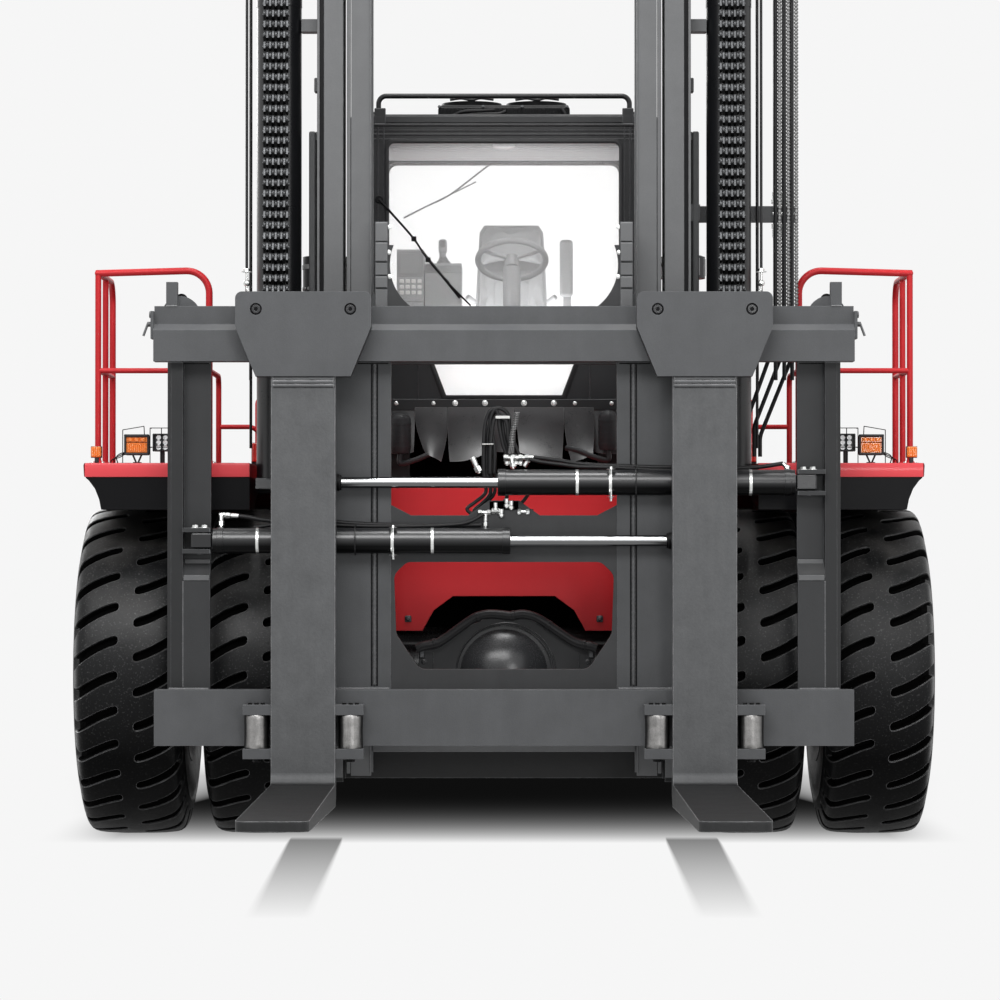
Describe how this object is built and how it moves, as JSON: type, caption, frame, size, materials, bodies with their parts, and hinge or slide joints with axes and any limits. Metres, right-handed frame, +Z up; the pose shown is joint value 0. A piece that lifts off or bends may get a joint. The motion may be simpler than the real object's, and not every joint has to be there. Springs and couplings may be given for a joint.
{
  "type": "counterbalance forklift",
  "caption": "Heavy counterbalance forklift with a telescopic mast, wide fork-positioning carriage, twin drive tyres, cab, side decks with handrails and a cast counterweight.",
  "frame": {"origin": "on the ground, below the middle of the truck's overall box", "axes": "+Y from the fork tips toward the counterweight, +X to the truck's left, +Z up"},
  "size_m": [4.15, 9.76, 4.6298],
  "materials": {
    "red_paint": "gloss",
    "mast_grey": "satin",
    "black_paint": "satin",
    "cab_paint": "satin",
    "engine_iron": "matt",
    "tyre": "matt",
    "rim_paint": "gloss",
    "chrome": "polished",
    "chain_steel": "oiled",
    "hose_rubber": "matt",
    "flap_rubber": "matt",
    "glass": "clear",
    "seat_fabric": "woven",
    "plastic": "matt",
    "lamp_lens": "clear"
  },
  "bodies": {
    "chassis": {"air_cleaner": "plastic", "cab_floor": "cab_paint", "cab_glass": "glass", "cab_roof": "cab_paint", "cab_shell": "cab_paint", "controls": "plastic", "counterweight": "red_paint", "drive_axle": "black_paint", "engine_block": "engine_iron", "exhaust_stack": "black_paint", "fender_decks": "red_paint", "fender_liners": "black_paint", "front_flaps": "flap_rubber", "handrails": "red_paint", "lamps": "lamp_lens", "main_frame": "red_paint", "roof_cooler": "black_paint", "seat": "seat_fabric", "side_decks": "red_paint", "side_tanks": "red_paint", "steer_axle": "black_paint"},
    "drive_wheels_left": {"drive_rims_left": "rim_paint", "drive_tyres_left": "tyre"},
    "drive_wheels_right": {"drive_rims_right": "rim_paint", "drive_tyres_right": "tyre"},
    "knuckle_left_body": {"knuckle_left": "black_paint"},
    "knuckle_right_body": {"knuckle_right": "black_paint"},
    "steer_wheel_left": {"steer_rim_left": "rim_paint", "steer_tyre_left": "tyre"},
    "steer_wheel_right": {"steer_rim_right": "rim_paint", "steer_tyre_right": "tyre"},
    "outer_mast_body": {"outer_mast": "mast_grey", "lift_barrels": "black_paint", "chains_rear": "chain_steel", "hoses_rear": "hose_rubber"},
    "inner_mast_body": {"inner_mast": "mast_grey", "chain_sheaves": "black_paint", "lift_rods": "chrome", "chains_front": "chain_steel", "chains_over": "chain_steel", "hoses_front": "hose_rubber", "hoses_over": "hose_rubber"},
    "carriage": {"carriage_frame": "mast_grey", "carriage_plates": "mast_grey", "carriage_cross_plate": "mast_grey", "positioner_barrels": "black_paint", "carriage_hoses": "hose_rubber"},
    "left_fork": {"fork_left": "mast_grey", "fork_hanger_left": "mast_grey", "fork_left_rod": "chrome"},
    "right_fork": {"fork_right": "mast_grey", "fork_hanger_right": "mast_grey", "fork_right_rod": "chrome"},
    "left_tilt_barrel": {"tilt_barrel_left": "black_paint"},
    "right_tilt_barrel": {"tilt_barrel_right": "black_paint"},
    "left_tilt_rod": {"tilt_rod_left": "chrome"},
    "right_tilt_rod": {"tilt_rod_right": "chrome"},
    "left_door": {"door_left": "cab_paint"},
    "right_door": {"door_right": "cab_paint"},
    "hood": {"engine_hood": "red_paint"}
  },
  "joints": [
    {"name": "drive_wheels_left_spin", "type": "hinge", "parent": "chassis", "child": "drive_wheels_left", "pos_m": [1.5, -1.2, 0.8075], "axis": [1, 0, 0], "continuous": true},
    {"name": "drive_wheels_right_spin", "type": "hinge", "parent": "chassis", "child": "drive_wheels_right", "pos_m": [-1.5, -1.2, 0.8075], "axis": [1, 0, 0], "continuous": true},
    {"name": "steering_left", "type": "hinge", "parent": "chassis", "child": "knuckle_left_body", "pos_m": [1.13, 3.55, 0.8075], "axis": [0, 0, 1], "range_deg": [-55, 55]},
    {"name": "steering_right", "type": "hinge", "parent": "chassis", "child": "knuckle_right_body", "pos_m": [-1.13, 3.55, 0.8075], "axis": [0, 0, 1], "range_deg": [-55, 55]},
    {"name": "steer_wheel_left_spin", "type": "hinge", "parent": "knuckle_left_body", "child": "steer_wheel_left", "pos_m": [1.37, 3.55, 0.8075], "axis": [1, 0, 0], "continuous": true},
    {"name": "steer_wheel_right_spin", "type": "hinge", "parent": "knuckle_right_body", "child": "steer_wheel_right", "pos_m": [-1.37, 3.55, 0.8075], "axis": [1, 0, 0], "continuous": true},
    {"name": "mast_tilt", "type": "hinge", "parent": "chassis", "child": "outer_mast_body", "pos_m": [0, -1.58, 0.78], "axis": [1, 0, 0], "range_deg": [-10, 5]},
    {"name": "mast_lift", "type": "slide", "parent": "outer_mast_body", "child": "inner_mast_body", "axis": [0, 0, 1], "range_m": [-0.085, 1.85]},
    {"name": "carriage_lift", "type": "slide", "parent": "inner_mast_body", "child": "carriage", "axis": [0, 0, 1], "range_m": [-0.085, 1.85], "deforming": ["chains_front", "hoses_front"]},
    {"name": "fork_left_shift", "type": "slide", "parent": "carriage", "child": "left_fork", "axis": [1, 0, 0], "range_m": [-0.6, 0.27]},
    {"name": "fork_right_shift", "type": "slide", "parent": "carriage", "child": "right_fork", "axis": [-1, 0, 0], "range_m": [-0.6, 0.27]},
    {"name": "tilt_barrel_left_swing", "type": "hinge", "parent": "chassis", "child": "left_tilt_barrel", "pos_m": [0.86, 0.45, 1.35], "axis": [1, 0, 0], "range_deg": [-1.85, 0.93]},
    {"name": "tilt_rod_left_slide", "type": "slide", "parent": "left_tilt_barrel", "child": "left_tilt_rod", "axis": [0, -0.9463, 0.3231], "range_m": [-0.2128, 0.1067]},
    {"name": "tilt_barrel_right_swing", "type": "hinge", "parent": "chassis", "child": "right_tilt_barrel", "pos_m": [-0.86, 0.45, 1.35], "axis": [1, 0, 0], "range_deg": [-1.85, 0.93]},
    {"name": "tilt_rod_right_slide", "type": "slide", "parent": "right_tilt_barrel", "child": "right_tilt_rod", "axis": [0, -0.9463, 0.3231], "range_m": [-0.2128, 0.1067]},
    {"name": "door_left_swing", "type": "hinge", "parent": "chassis", "child": "left_door", "pos_m": [0.793, 0.156, 2.8], "axis": [0, 0, 1], "range_deg": [0, 85]},
    {"name": "door_right_swing", "type": "hinge", "parent": "chassis", "child": "right_door", "pos_m": [-0.793, 0.156, 2.8], "axis": [0, 0, -1], "range_deg": [0, 85]},
    {"name": "hood_lift", "type": "hinge", "parent": "chassis", "child": "hood", "pos_m": [0, 2.78, 2.33], "axis": [-1, 0, 0], "range_deg": [0, 60]}
  ],
  "couplings": [
    {"joint": "steering_right", "follows": "steering_left", "ratio": 1},
    {"joint": "carriage_lift", "follows": "mast_lift", "ratio": 1},
    {"joint": "tilt_barrel_left_swing", "follows": "mast_tilt", "ratio": 0.184},
    {"joint": "tilt_rod_left_slide", "follows": "mast_tilt", "m_per_rad": 1.216},
    {"joint": "tilt_barrel_right_swing", "follows": "mast_tilt", "ratio": 0.184},
    {"joint": "tilt_rod_right_slide", "follows": "mast_tilt", "m_per_rad": 1.216}
  ]
}
